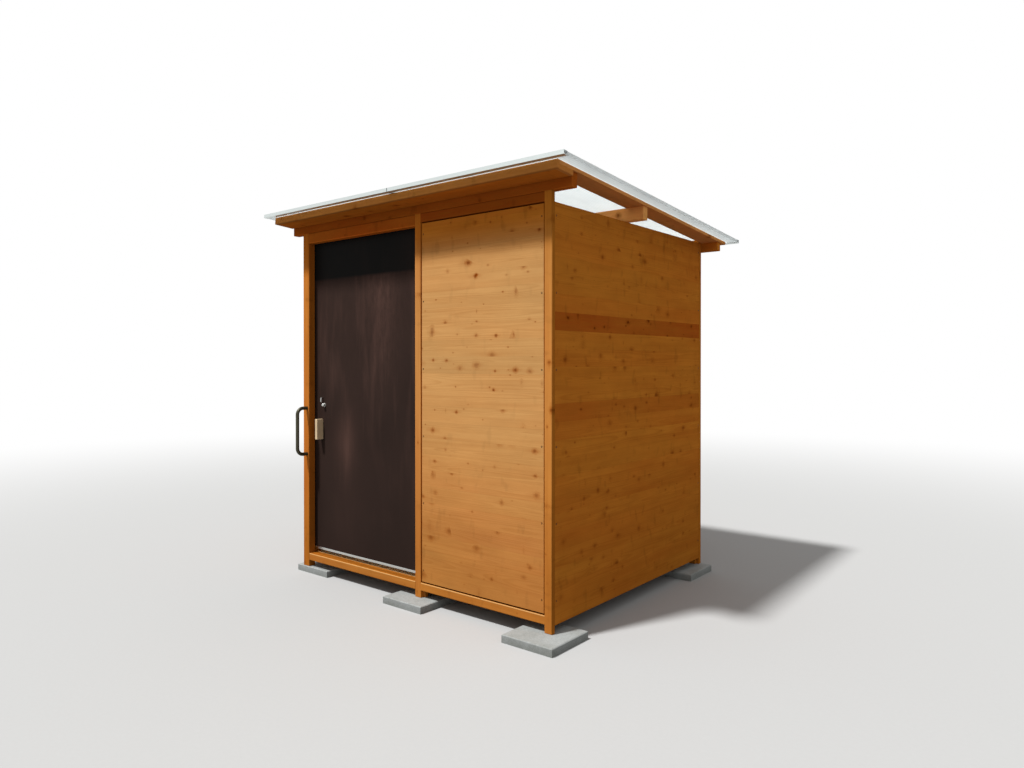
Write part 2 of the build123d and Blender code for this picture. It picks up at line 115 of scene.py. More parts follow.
# Heights where marks begin and are full: sun bleach with painted light on the front, painted shade under
# the eave's shadow line, knots, darker wood near the ground and painted shade on the slabs' sides
SUN_FROM_GROUND = (0.1, 1.35)
PAINTED_EAVE_SHADOW = (2.08, 1.86)
KNOTS_GROW = (0.2, 1.3)
FRONT_KNOTS_DARKEN = (0.3, 1.4)
DARKER_NEAR_GROUND = (1.0, 0.1)
SLAB_PAINTED_SHADE = (0.036, 0.004)
# Parts of a normal where a face begins to look forwards or up and fully does
FORWARDS = (-0.3, -0.9)
UPWARDS = (0.85, 0.97)
# Distances from a seam, and from an edge for its painted highlight and shade and for the painted arris
# highlight, where each begins and is full
SEAM_START = 0.0016
SEAM_FULL = 0.0004
PAINTED_EDGE_START = 0.008
PAINTED_EDGE_FULL = 0.001
ARRIS_HIGHLIGHT_START = 0.0055
ARRIS_HIGHLIGHT_FULL = 0.003
ARRIS_HIGHLIGHT_END = 0.001
# Length of a side wall's drips, the soft borders of the roof sheet's painted shade and of the door's
# painted eave shadow, and half the deck's open joint
DRIP_LENGTH = 0.28
VERGE_BORDER = 0.03
FILM_BORDER = 0.012
JOINT_HALF = 0.0012
# A painted light patch beside the door's pull and a painted sheen beside its middle, and their reach
PAINTED_PATCH_ASIDE = 0.24
PAINTED_PATCH_BELOW = 0.07
PAINTED_PATCH_REACH = (0.09, 0.17)
PAINTED_SHEEN_ASIDE = 0.13
PAINTED_SHEEN_REACH = 0.12
# Distances from a grip's middle where wear begins and is full
HANDLE_HELD = (0.12, 0.05)
PULL_HELD = (0.07, 0.02)
# First chance number of each group and the steps between pieces
SEEDS = {"posts": 2.0, "rails": 31.0, "roof": 77.0, "panels": 120.0, "joists": 211.0}
TIMBER_STEP = 3.71
PANEL_STEP = 5.17
# Small lengths and angles that finish a mesh
NEAR = 0.001
WELD_GAP = 0.00001
PROUD = 0.0002
ARRIS_ANGLE = math.radians(50)
SHARP_ANGLE = math.radians(32)
# Rim, ring and recess of a countersunk head: width and rise in shares of its radius
HEAD_STEPS = ((0.16, 0.03), (0.34, 0.0), (0.06, -0.4))
# Washer, collar and head of a roof screw: facets, both radii and height in washer radii
ROOF_SCREW_STEPS = ((24, 1.0, 0.78, 0.2), (24, 0.58, 0.55, 0.1), (6, 0.46, 0.46, 0.36))
WHITE = (1.0, 1.0, 1.0)
SENSOR_WIDTH = 36

Knots = namedtuple("Knots", "pith core halo tail bend")


def colour(red, green, blue):
    """A colour as a painter's chart gives it, 0 to 255, in linear light."""
    parts = [value / 255 for value in (red, green, blue)]
    return tuple(p / 12.92 if p <= 0.04045 else ((p + 0.055) / 1.055) ** 2.4 for p in parts)


def tint(name, description, default):
    """A colour that a user can change."""
    return FloatVectorProperty(
        name=name, description=description, subtype="COLOR", size=3, min=0, max=1, default=default
    )


def length(name, description, default, low=0.0, high=10.0):
    """A length in metres that a user can change."""
    return FloatProperty(
        name=name, description=description, unit="LENGTH", precision=4, default=default, min=low, max=high
    )


def angle(name, description, degrees):
    """An angle that a user can change."""
    turn = math.radians(degrees)
    return FloatProperty(name=name, description=description, subtype="ANGLE", default=turn)


def number(name, description, default, high=1.0, low=0.0):
    """A plain number that a user can change."""
    return FloatProperty(name=name, description=description, default=default, min=low, max=high)


class OuthouseTimber(bpy.types.PropertyGroup):
    """Stained spruce of the posts, rails, boards and wall panels."""

    early_wood: tint("Early wood", "Light part of the growth rings", colour(201, 124, 42))
    late_wood: tint("Late wood", "Dark part of the growth rings", colour(168, 94, 27))
    red_wood: tint("Red wood", "Tone that the redder boards lean to", colour(162, 75, 22))
    # Bleached colours: sun bleach that also serves as painted light on the front
    bleached_and_lit_early: tint("Bleached early wood", "Light rings where the sun falls", colour(201, 156, 100))
    bleached_and_lit_late: tint("Bleached late wood", "Dark rings where the sun falls", colour(166, 118, 66))
    knot_core: tint("Knot core", "Middle of a knot", colour(98, 36, 3))
    knot_ring: tint("Knot ring", "Wood that grows round a knot", colour(152, 78, 20))
    strip_width: length("Strip width", "Width of a wall panel's glued strips", 0.089, 0.04, 0.3)
    ring_spacing: length("Ring spacing", "Distance between growth rings", 0.0034, 0.001, 0.02)
    knot_spacing: length("Knot spacing", "Mean distance between large knots", 0.115, 0.05, 1)
    pin_spacing: length("Pin knot spacing", "Mean distance between pin knots", 0.12, 0.03, 1)
    panel_clear: number("Clear panel wood", "Share of knots that a wall panel lacks", 0.62)
    timber_clear: number("Clear timber", "Share of knots that a post or beam lacks", 0.88)
    roughness: number("Roughness", "Roughness of the satin stain", 0.58)
    specular: number("Specular", "Strength of reflections on the stain", 0.0)
    arris: length("Arris", "Width of the eased edges of posts and boards", 0.0012, 0, 0.01)
    rail_arris: length("Rail arris", "Width of the eased edges of sills and headers", 0.0025, 0, 0.01)


class OuthouseRoof(bpy.types.PropertyGroup):
    """Opal roof sheets and their aluminium profiles."""

    sheet: tint("Sheet", "Opal plastic of the roof sheets", colour(236, 240, 240))
    glow: number("Glow", "Share of light that a sheet's face lets through", 0.72)
    flute_pitch: length("Flute pitch", "Distance between the webs inside a sheet", 0.016, 0.004, 0.05)
    # The outer flutes from here outward are darker as painted shade
    verge_shade_start: length("Verge start", "Distance from the middle to the damp outer flutes", 1.1, 0, 2)
    aluminium: tint("Aluminium", "Plain aluminium of the profiles", colour(212, 219, 217))
    butt_gap: length("Butt gap", "Gap where two lengths of edge profile meet", 0.003, 0, 0.02)
    washer_radius: length("Washer radius", "Radius of the sealing washers", 0.011, 0.004, 0.03)
    screw_spacing: length("Screw spacing", "Distance between screws along a beam", 0.35, 0.1, 1)
    screw_metal: tint("Screw metal", "Zinc-plated steel of the roof screws", colour(168, 170, 168))


class OuthouseDoor(bpy.types.PropertyGroup):
    """Door leaf of film-faced plywood, its pull and its metalwork."""

    # Film under the eave is dark as a painted shadow; faded film is the film in painted light below it,
    # partly sun fading
    film: tint("Film", "Dark film on the leaf under the eave", colour(27, 26, 25))
    film_faded_and_lit: tint("Faded film", "Film that the sun has turned brown", colour(47, 36, 32))
    # Film wear colours the scuffs and also the painted reflection, light patch and sheen
    film_wear_and_sheen: tint("Film wear", "Lighter scuffs on the film", colour(96, 70, 62))
    film_shaded_from: length("Film shaded from", "Height where the eave's dark film starts", 1.874, 1, 2.2)
    pull: tint("Pull", "Oiled beech of the pull", colour(220, 192, 152))
    steel: tint("Steel", "Zinc-plated steel of the track and carriages", colour(176, 178, 176))
    bright_steel: tint("Bright steel", "Stainless steel of the lock and staple", colour(206, 206, 202))
    handle: tint("Handle", "Grey coat of the grab handle", colour(70, 68, 52))
    plastic: tint("Plastic", "Black plastic of the floor guide", colour(34, 34, 36))


class OuthouseGround(bpy.types.PropertyGroup):
    """Floor deck and paving slabs."""

    concrete: tint("Concrete", "Cement of the slabs", colour(154, 157, 155))
    # Dark concrete serves worn patches and the painted shade on the slabs' sides
    concrete_dark: tint("Dark concrete", "Damp and worn concrete", colour(132, 134, 129))
    grit: tint("Grit", "Grains that show in the concrete", colour(92, 92, 90))
    deck: tint("Deck", "Birch plywood of the floor", colour(186, 146, 98))
    deck_joint: length("Deck joint", "Place of the butt joint between two floor sheets", -0.21, -1, 1)


class OuthouseScrews(bpy.types.PropertyGroup):
    """Countersunk screws in the wall panels."""

    metal: tint("Screw metal", "Burnished steel of the screws", colour(38, 29, 24))
    head_radius: length("Head radius", "Radius of a countersunk head", 0.0046, 0.002, 0.01)
    edge_distance: length("Edge distance", "Distance from the panel's edge", 0.012, 0.005, 0.05)
    lowest: length("Lowest screw", "Height of the lowest screw", 0.196, 0.05, 1)
    spacing: length("Spacing", "Distance between screws up the panel", 0.372, 0.1, 1)
    segments: IntProperty(name="Segments", description="Facets round a head", default=20, min=8, max=64)


class OuthouseStage(bpy.types.PropertyGroup):
    """Floor, light and camera of the picture."""

    floor: tint("Floor", "Pale floor as the camera sees it", colour(172, 172, 171))
    floor_bounce: number("Floor bounce", "Share of light that the floor throws back", 0.16)
    floor_radius: length("Floor radius", "Radius of the floor", 40, 5, 200)
    fade_start: length("Fade start", "Distance where the floor begins to turn white", 3, 1, 100)
    fade_end: length("Fade end", "Distance where the floor is as white as the sky", 11, 1, 100)
    sky: number("Sky", "Strength of the even light from all round", 0.55, 5)
    key: number("Key light", "Strength of the key light", 4.5, 20)
    key_softness: angle("Key softness", "Angle that the key light fills", 5)
    key_from: FloatVectorProperty(
        name="Key from", description="Direction that the key light comes from", subtype="XYZ",
        default=(-0.4, -1.0, 2.08),
    )
    camera_place: FloatVectorProperty(
        name="Camera place", description="Where the camera stands", subtype="XYZ", unit="LENGTH",
        default=(3.080, -3.711, 1.3485),
    )
    camera_turn: angle("Camera turn", "Turn of the camera to the left", 39.0)
    camera_tilt: angle("Camera tilt", "Tilt of the camera below the horizon", 0.305)
    lens: number("Lens", "Focal length in millimetres on a 36 mm sensor", 26.146, 300, 5)
    lens_shift: number("Lens shift", "Upward shift as a share of the picture's width", -0.01727, 0.5, -0.5)


class Signal:
    """A socket of a graph. Signals and numbers combine into Math nodes."""

    def __init__(self, graph, socket):
        self.graph = graph
        self.socket = socket

    def math(self, operation, *values):
        """A Math node on these values."""
        return self.graph.add("ShaderNodeMath", {"operation": operation}, dict(enumerate(values)))

    def __add__(self, other):
        return self.math("ADD", self, other)

    def __sub__(self, other):
        return self.math("SUBTRACT", self, other)

    def __rsub__(self, other):
        return self.math("SUBTRACT", other, self)

    def __mul__(self, other):
        return self.math("MULTIPLY", self, other)

    def __truediv__(self, other):
        return self.math("DIVIDE", self, other)

    def __lt__(self, other):
        return self.math("LESS_THAN", self, other)

    def __gt__(self, other):
        return self.math("GREATER_THAN", self, other)

    def __abs__(self):
        return self.math("ABSOLUTE", self)

    __radd__ = __add__
    __rmul__ = __mul__

    def beside(self, name):
        """Another output of the node that gives this signal."""
        return Signal(self.graph, self.socket.node.outputs[name])

    def floor(self):
        return self.math("FLOOR", self)

    def fraction(self):
        return self.math("FRACT", self)

    def root(self):
        return self.math("SQRT", self)

    def at_least(self, other):
        return self.math("MAXIMUM", self, other)

    def clamped(self):
        """This value held between 0 and 1."""
        return self.math("MINIMUM", self.at_least(0.0), 1.0)

    def rise(self, low, high):
        """0 below low, 1 above high and smooth between them. With high below low it falls."""
        return self.graph.add(
            "ShaderNodeMapRange",
            {"interpolation_type": "SMOOTHSTEP"},
            {"Value": self, "From Min": low, "From Max": high},
        )

    def bell(self, width):
        """1 at zero, falling away like a bell over this width."""
        ratio = self / width
        return self.math("EXPONENT", ratio * ratio * -1.0)


class Graph:
    """The nodes of a material or of the world."""

    def __init__(self, tree, output):
        self.nodes = tree.nodes
        self.links = tree.links
        self.nodes.clear()
        self.output = self.nodes.new(output)

    @staticmethod
    def socket(sockets, key):
        """The socket in use with this name or number."""
        if isinstance(key, int):
            return sockets[key]
        return next(socket for socket in sockets if socket.enabled and socket.name == key)

    def add(self, kind, settings=None, values=None, result=0):
        """A node of this kind with its settings, then the values or links of its sockets."""
        node = self.nodes.new(kind)
        for name, value in (settings or {}).items():
            setattr(node, name, value)
        for key, value in (values or {}).items():
            socket = self.socket(node.inputs, key)
            if isinstance(value, Signal):
                self.links.new(value.socket, socket)
            elif socket.type == "RGBA":
                socket.default_value = (*value, 1.0)
            else:
                socket.default_value = value
        return Signal(self, self.socket(node.outputs, result))

    def show(self, shader):
        """Puts this shader on the surface."""
        self.links.new(shader.socket, self.output.inputs["Surface"])

    def seen_directly(self):
        """1 for rays that show a surface in the picture, straight or through metal and glass."""
        camera = self.add("ShaderNodeLightPath", result="Is Camera Ray")
        return (camera + camera.beside("Is Glossy Ray") + camera.beside("Is Transmission Ray")).clamped()

    def show_mix(self, factor, first, second):
        """Puts a mix of two shaders on the surface."""
        self.show(self.add("ShaderNodeMixShader", None, {0: factor, 1: first, 2: second}))


class Finish(Graph):
    """A material in the making, with its Principled surface."""

    def __init__(self, name, values=None):
        self.material = bpy.data.materials.new(name)
        self.material.use_nodes = True
        super().__init__(self.material.node_tree, "ShaderNodeOutputMaterial")
        self.surface = self.add("ShaderNodeBsdfPrincipled", None, values)
        self.show(self.surface)

    def coordinates(self):
        """The object's own x, y and z."""
        return self.parts(self.add("ShaderNodeTexCoord", result="Object"))

    def parts(self, vector_signal):
        """The x, y and z of a vector."""
        first = self.add("ShaderNodeSeparateXYZ", None, {0: vector_signal})
        return [first.beside(name) for name in "XYZ"]

    def vector(self, x, y, z):
        return self.add("ShaderNodeCombineXYZ", None, {"X": x, "Y": y, "Z": z})

    def split(self, colour_signal):
        """The three parts of a colour."""
        first = self.add("ShaderNodeSeparateColor", None, {0: colour_signal})
        return [first.beside(name) for name in ("Red", "Green", "Blue")]

    def noise(self, x, y, z, scale=1.0, detail=2.0, roughness=0.5):
        """Cloudy noise from 0 to 1 at this place."""
        place = self.vector(x, y, z)
        values = {"Vector": place, "Scale": scale, "Detail": detail, "Roughness": roughness}
        return self.add("ShaderNodeTexNoise", None, values, "Fac")

    def cloud(self, scale, detail, roughness=0.5):
        """Cloudy noise from 0 to 1, alike in every direction."""
        return self.noise(*self.coordinates(), scale, detail, roughness)

    def from_point(self, scale):
        """Distance to the nearest of many scattered points."""
        values = {"Vector": self.vector(*self.coordinates()), "Scale": scale}
        return self.add("ShaderNodeTexVoronoi", None, values, "Distance")

    def chances(self, number):
        """Three chance values from 0 to 1 that depend on this number alone."""
        settings = {"noise_dimensions": "1D"}
        return self.split(self.add("ShaderNodeTexWhiteNoise", settings, {"W": number}, "Color"))

    def mix(self, factor, first, second):
        """A blend of two colours."""
        values = {"Factor": factor, "A": first, "B": second}
        return self.add("ShaderNodeMix", {"data_type": "RGBA"}, values, "Result")

    def shade(self, first, value):
        """A colour made lighter or darker."""
        return self.add("ShaderNodeHueSaturation", None, {"Color": first, "Value": value})

    def feed(self, signals):
        """Links signals to the sockets of the surface with these names."""
        for name, signal in signals.items():
            self.links.new(signal.socket, self.surface.socket.node.inputs[name])

    def cover(self, body, roughness, relief, distance, strength):
        """The material, once it has this colour, roughness and relief. Relief 1 stands this far out."""
        values = {"Height": relief, "Distance": distance, "Strength": strength}
        bump = self.add("ShaderNodeBump", None, values)
        self.feed({"Base Color": body, "Roughness": roughness, "Normal": bump})
        return self.material


class Board:
    """A timber or glued panel in a finish: where a place lies in it, and in which piece of wood.

    layout is as in POSTS, box the lowest and highest corner, strips the foot and width of a panel's
    glued strips, and dark_rows as in DARK_ROWS.
    """

    def __init__(self, finish, layout, box, seed, strips=None, dark_rows=()):
        self.finish = finish
        self.seed = seed
        axes = dict(zip("XYZ", finish.coordinates()))
        self.along, self.across, self.through = (axes[letter] for letter in layout)
        self.height = axes["Z"]
        low, high = ([corner["XYZ".index(letter)] for letter in layout] for corner in box)
        self.low_edge = low[1]
        self.high_edge = high[1]
        self.deep = self.through - (low[2] + high[2]) / 2
        self.row = self.seam = self.dark = 0.0
        if strips:
            foot, width = strips
            self.row = ((self.across - foot) / width).floor()
            self.local = self.across - foot - (self.row + 0.5) * width
            self.seam = abs(self.local).rise(width / 2 - SEAM_START, width / 2 - SEAM_FULL)
            self.dark = sum((abs(self.row - row) < 0.5) * depth for row, depth in dark_rows)
        else:
            self.local = self.across - (low[1] + high[1]) / 2
        self.tone, self.pith_place, self.pith_depth = finish.chances(self.row * 1.37 + seed)
        normal = finish.parts(finish.add("ShaderNodeTexCoord", result="Normal"))
        self.front = normal[1].rise(*FORWARDS)
        self.top = normal[2].rise(*UPWARDS)

    def grained(self, along, across, detail=2.0, roughness=0.5, shift=0.0):
        """Noise from 0 to 1, this fine along and across the grain, that shifts from strip to strip."""
        run = self.along * along + self.row * shift + self.seed
        place = (run, self.across * across, self.through * across)
        return self.finish.noise(*place, detail=detail, roughness=roughness)


def knots(board, spacing, radii, empty, seed):
    """Knots scattered over a board: how much a place is pith, core, halo or tail, and the grain's bend.

    radii are those of the smallest and largest knot, and empty is the share of places without one.
    """
    finish = board.finish
    shift = finish.chances(board.row * 2.31 + seed)[0]
    along = board.along / spacing + shift * 31.0
    across = board.local / spacing + board.row * 7.3 + seed
    cells = finish.add(
        "ShaderNodeTexVoronoi", {"voronoi_dimensions": "2D"},
        {"Vector": finish.vector(along, across, 0.0), "Scale": 1.0}, "Position",
    )
    middle = finish.parts(cells)
    chance, size, shape = finish.split(cells.beside("Color"))
    there = chance > empty
    fresh = (chance - empty) / (1.0 - empty)
    radius = size * size * (radii[1] - radii[0]) + radii[0]
    beside = (along - middle[0]) * spacing / radius
    above = (across - middle[1]) * spacing / radius
    spike = (shape * 7.31).fraction() > 0.84
    ragged = finish.noise(beside * 0.7 + shape * 9.0, above * 0.7, size * 5.0, detail=3.0) - 0.5
    squeezed = beside / (shape * 0.5 + 0.8)
    stretched = above / (spike * 1.7 + 1.0)
    distance = (squeezed * squeezed + stretched * stretched).root() + ragged * 1.9
    strength = (fresh * 0.65 + 0.35) * there * (1.0 - spike * 0.4)
    return Knots(
        pith=distance.rise(0.7, 0.2) * strength,
        core=distance.rise(1.3, 0.65) * strength,
        halo=distance.rise(2.8, 1.0) * strength,
        tail=beside.bell(5.0) * above.bell(1.0) * strength,
        bend=above * radius / (distance.at_least(0.2) + 0.6) * distance.bell(2.4) * there,
    )


def growth_rings(board, spacing, flow):
    """Late wood, 0 to 1, of rings round a pith below the board. flow is across the fibres."""
    wander = board.grained(0.7, 4.0, shift=5.3) - 0.5
    place = (board.along * 3.0 + board.seed, board.across * 20.0 + board.row * 3.1, board.through * 20.0)
    waver = board.finish.noise(*place, detail=3.0) - 0.5
    beside_pith = flow - (board.pith_place - 0.5) * 0.1 + wander * 0.02
    over_pith = board.deep + 0.014 + board.pith_depth * 0.06 + wander * 0.05
    reach = (beside_pith * beside_pith + over_pith * over_pith).root() + waver * 0.0014
    phase = (reach / (spacing * (0.8 + board.tone * 0.8))).fraction()
    return phase.rise(0.3, 0.9) * phase.rise(1.0, 0.9)


def wood(
    settings, board, clear, face_top=0.0,
    bleach_and_painted_light=0.0, pale=0.0, red=0.0, edges=0.0, light=1.0, wear_and_painted_light=0.0,
):
    """Colour, roughness and relief of stained softwood, with painted light and shade.

    clear is the share of knots that the board lacks, and face_top the height of the front face's
    upper edge. bleach, pale, red, edges, light and worn are as TONES gives them.
    """
    finish = board.finish
    dark = board.dark
    height = board.height
    large = knots(board, settings.knot_spacing, KNOT_RADII, clear - dark * 1.3, board.seed)
    pins = knots(board, settings.pin_spacing, PIN_RADII, clear * 0.5 + 0.2, board.seed + 11.3)
    flow = board.local - large.bend - pins.bend
    late = growth_rings(board, settings.ring_spacing, flow)
    fibre_place = (board.along * 8.0, flow * 430.0, board.through * 430.0)
    fibre = finish.noise(*fibre_place, detail=4.0, roughness=0.62) - 0.5
    streak = board.grained(1.1, 62.0) - 0.5
    flame = board.grained(1.6, 17.0, detail=3.0, shift=3.7) - 0.5
    cloud = board.grained(1.3, 3.0, detail=3.0) - 0.5
    blotch = board.grained(6.0, 15.0, detail=4.0, roughness=0.6) - 0.5
    figure = board.grained(19.0, 9.0, detail=1.5).rise(0.6, 0.75)

    # The stained wood, paler on the front from sun bleach and painted light below the eave's shadow line,
    # which leaves painted shade above it
    sun_faded_and_painted_lit = (height.rise(*SUN_FROM_GROUND) * 0.6 + 0.4) * height.rise(*PAINTED_EAVE_SHADOW) * board.front
    redness = board.tone * 0.35 + cloud + flame * 0.5 + dark * 1.3 + red
    faded_and_painted_lit = ((1.0 - redness * 0.35) * sun_faded_and_painted_lit * bleach_and_painted_light + pale).clamped()
    early = finish.mix(redness.clamped(), settings.early_wood, settings.red_wood)
    early = finish.mix(faded_and_painted_lit, early, settings.bleached_and_lit_early)
    late_tone = finish.mix(faded_and_painted_lit, settings.late_wood, settings.bleached_and_lit_late)
    grain = (late * (0.3 - bleach_and_painted_light * 0.1) + 0.12 + fibre * 0.5 + streak * 0.6 + flame * 0.5).clamped()
    body = finish.mix(grain, early, late_tone)
    # red darkens a piece, which on the headers and front beam is painted shade under the eave, and light is
    # a brightness gain of painted light
    shading = 0.98 + board.tone * 0.1 + cloud * 0.34 - dark * 0.06 - board.seam * 0.07 - red * 0.2
    body = finish.shade(body, (shading + blotch * (0.3 - sun_faded_and_painted_lit * bleach_and_painted_light * 0.15)) * light)

    # The knots, fainter near the ground and darkest high on the front
    calm = height.rise(*KNOTS_GROW) * 0.35 + 0.65
    rings = large.halo * 0.45 + large.tail * 0.32 + pins.halo * 0.36 + pins.tail * 0.24
    body = finish.mix(rings.clamped() * calm, body, settings.knot_ring)
    body = finish.shade(body, 1.0 - figure * (0.15 - sun_faded_and_painted_lit * bleach_and_painted_light * 0.11))
    depth = dark + height.rise(*FRONT_KNOTS_DARKEN) * board.front * 0.2 + 0.26
    spots = large.core * depth + large.pith * 0.26 + pins.core * (depth - 0.04) + pins.pith * 0.22
    body = finish.mix(spots.clamped() * calm, body, settings.knot_core)

    body = painted_light_and_dirt(board, body, face_top, edges, wear_and_painted_light, settings.bleached_and_lit_early)
    roughness = settings.roughness + fibre * 0.22 + late * 0.05 - large.core * 0.08
    return body, roughness, fibre * 0.6 + late * 0.4 - large.core * 0.5 - pins.core * 0.4


def painted_light_and_dirt(board, body, face_top, edges, wear_and_painted_light, highlight_tone):
    """Wood with a painted highlight and painted shade along its edges, a painted highlight on the upper
    arris of its front face, darker near the ground, and dirt with painted shade on its top faces.
    """
    finish = board.finish
    # painted highlight along one edge and painted shade along the other
    if edges:
        upper = board.across.rise(board.high_edge - PAINTED_EDGE_START, board.high_edge - PAINTED_EDGE_FULL)
        lower = board.across.rise(board.low_edge + PAINTED_EDGE_START, board.low_edge + PAINTED_EDGE_FULL)
        body = finish.shade(body, 1.0 + (lower * 0.5 - upper * 0.45) * edges)
    # a painted highlight along the upper arris of the front face
    if wear_and_painted_light:
        painted_arris_highlight = board.height.rise(face_top - ARRIS_HIGHLIGHT_START, face_top - ARRIS_HIGHLIGHT_FULL)
        painted_arris_highlight = painted_arris_highlight * board.height.rise(face_top + ARRIS_HIGHLIGHT_END, face_top) * (1.0 - board.top)
        body = finish.shade(finish.mix(painted_arris_highlight * wear_and_painted_light, body, highlight_tone), painted_arris_highlight * 0.25 + 1.0)
    # darker near the ground, and top faces darker by dirt and painted shade
    ground_darkening = board.height.rise(*DARKER_NEAR_GROUND) * (board.front * 0.06 + 0.14)
    dirt_and_painted_shade = board.grained(1.5, 70.0, detail=3.0)
    return finish.shade(body, (1.0 - ground_darkening) * (1.0 - board.top * (dirt_and_painted_shade * 0.7 + 0.2)))


def stain(finish, body, roughness, relief):
    """The stained wood of this colour, roughness and relief."""
    return finish.cover(body, roughness, relief, distance=0.0003, strength=0.7)


def ease(names, width):
    """Rounds the sharp arrises of these packed pieces."""
    for name in names:
        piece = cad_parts[name]
        weld = piece.modifiers.new("weld", "WELD")
        weld.merge_threshold = WELD_GAP
        bevel = piece.modifiers.new("arris", "BEVEL")
        bevel.width = width
        bevel.segments = 2
        bevel.limit_method = "ANGLE"
        bevel.angle_limit = ARRIS_ANGLE
        bevel.harden_normals = True


def dress(names, material):
    """Gives these packed pieces this material."""
    for name in names:
        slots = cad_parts[name].data.materials
        slots.clear()
        slots.append(material)


def middle_of(name):
    """Centre of a packed piece."""
    low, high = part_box(name)
    return (low + high) / 2


def front_top(name):
    """Height of the upper edge of a packed piece's front face."""
    corners = [vertex.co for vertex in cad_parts[name].data.vertices]
    front = min(corner.y for corner in corners)
    return max(corner.z for corner in corners if corner.y < front + NEAR)


def finish_timbers(settings, layouts, first_seed, arris):
    """Stains each timber with a grain of its own and eases its edges."""
    for number, (name, layout) in enumerate(layouts.items()):
        finish = Finish(f"{name}_stain", {"Specular IOR Level": settings.specular})
        board = Board(finish, layout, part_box(name), first_seed + TIMBER_STEP * number)
        looks = wood(settings, board, settings.timber_clear, front_top(name), **TONES.get(name, {}))
        dress([name], stain(finish, *looks))
    ease(layouts, arris)


class OUTHOUSE_OT_posts(bpy.types.Operator):
    """Stain the six posts"""

    bl_idname = "outhouse.posts"
    bl_label = "Posts"

    def execute(self, context):
        settings = context.scene.outhouse_timber
        finish_timbers(settings, POSTS, SEEDS["posts"], settings.arris)
        return {"FINISHED"}


class OUTHOUSE_OT_rails(bpy.types.Operator):
    """Stain the sills, headers and side rails"""

    bl_idname = "outhouse.rails"
    bl_label = "Rails and headers"

    def execute(self, context):
        settings = context.scene.outhouse_timber
        finish_timbers(settings, RAILS, SEEDS["rails"], settings.rail_arris)
        return {"FINISHED"}


class OUTHOUSE_OT_roof_timbers(bpy.types.Operator):
    """Stain the beams, boards and fascia of the roof"""

    bl_idname = "outhouse.roof_timbers"
    bl_label = "Roof timbers"

    def execute(self, context):
        settings = context.scene.outhouse_timber
        finish_timbers(settings, ROOF_TIMBERS, SEEDS["roof"], settings.arris)
        return {"FINISHED"}


class OUTHOUSE_OT_wall_panels(bpy.types.Operator):
    """Stain the glued wall panels"""

    bl_idname = "outhouse.wall_panels"
    bl_label = "Wall panels"

    def execute(self, context):
        settings = context.scene.outhouse_timber
        for number, (name, layout) in enumerate(WALL_PANELS.items()):
            low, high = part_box(name)
            finish = Finish(f"{name}_stain", {"Specular IOR Level": settings.specular})
            seed = SEEDS["panels"] + PANEL_STEP * number
            strips = (low.z, settings.strip_width)
            board = Board(finish, layout, (low, high), seed, strips, DARK_ROWS[name])
            body, roughness, relief = wood(settings, board, settings.panel_clear, **TONES.get(name, {}))
            if name.startswith("side"):
                drips = finish.noise(board.along * 30.0, board.height * 2.5, board.through, detail=3.0)
                wet = drips.rise(0.5, 0.75) * board.height.rise(high.z - DRIP_LENGTH, high.z)
                body = finish.shade(body, 1.0 - wet * board.along.rise(-0.2, 0.3) * 0.22)
            dress([name], stain(finish, body, roughness, relief))
        ease(WALL_PANELS, settings.arris)
        return {"FINISHED"}


class OUTHOUSE_OT_roof(bpy.types.Operator):
    """Finish the roof sheets and the aluminium profiles"""

    bl_idname = "outhouse.roof"
    bl_label = "Roof sheets and profiles"

    def execute(self, context):
        settings = context.scene.outhouse_roof
        dress(["roof_sheet_left", "roof_sheet_right"], sheet_finish(settings))
        sloping = metal_finish("joint_aluminium", settings.aluminium, 0.34, "Y")
        dress(["roof_joint_profile"], sloping)
        level = metal_finish("channel_aluminium", settings.aluminium, 0.34, "X")
        dress(["door_foot_channel"], level)
        butted = metal_finish("edge_aluminium", settings.aluminium, 0.34, "X", butt=settings.butt_gap)
        dress(["front_edge_profile", "rear_edge_profile"], butted)
        return {"FINISHED"}


def sheet_finish(settings):
    """Opal fluted plastic that lets light through, with webs as faint lines and painted shade on its outer
    flutes.
    """
    finish = Finish("opal_sheet", {"Coat Weight": 0.1})
    x, y, z = finish.coordinates()
    flute = abs((x / settings.flute_pitch).fraction() - 0.5) * 2.0
    web = flute.rise(0.78, 0.96)
    dust = finish.cloud(3.0, 5.0)
    grime = finish.noise(x * 2.0, y * 0.5, z, scale=9.0, detail=3.0)
    # painted shade on the outer flutes of the sheet
    painted_verge_shade = abs(x).rise(settings.verge_shade_start, settings.verge_shade_start + VERGE_BORDER)
    dirt = (dust - 0.4).at_least(0.0) * 0.2 + (grime - 0.5).at_least(0.0) * 0.15
    body = finish.shade(settings.sheet, 1.0 - web * 0.13 - dirt - painted_verge_shade * 0.2)
    finish.cover(body, 0.28 + dust * 0.2, web * 0.5 + dust * 0.2, 0.0004, 0.5)
    glow = finish.add("ShaderNodeBsdfTranslucent", None, {"Color": body})
    finish.show_mix(settings.glow, finish.surface, glow)
    return finish.material


def metal_finish(name, tone, roughness, run, wear_and_painted_light=0.1, butt=0.0):
    """Drawn metal with fine lines along its run, dull spots and a dark butt joint in the middle."""
    finish = Finish(name, {"Metallic": 1.0})
    axes = dict(zip("XYZ", finish.coordinates()))
    stretched = [axes[letter] * (4.0 if letter == run else 900.0) for letter in "XYZ"]
    lines = finish.noise(*stretched, detail=3.0)
    dull = (finish.cloud(14.0, 5.0) - 0.45).at_least(0.0)
    body = finish.shade(tone, 1.0 - dull * wear_and_painted_light * 4.0 - (lines - 0.5) * 0.08)
    if butt:
        body = finish.shade(body, 1.0 - (abs(axes["X"]) < butt) * 0.75)
    return finish.cover(body, roughness + (lines - 0.5) * 0.12 + dull * 0.5, lines, 0.00005, 0.5)


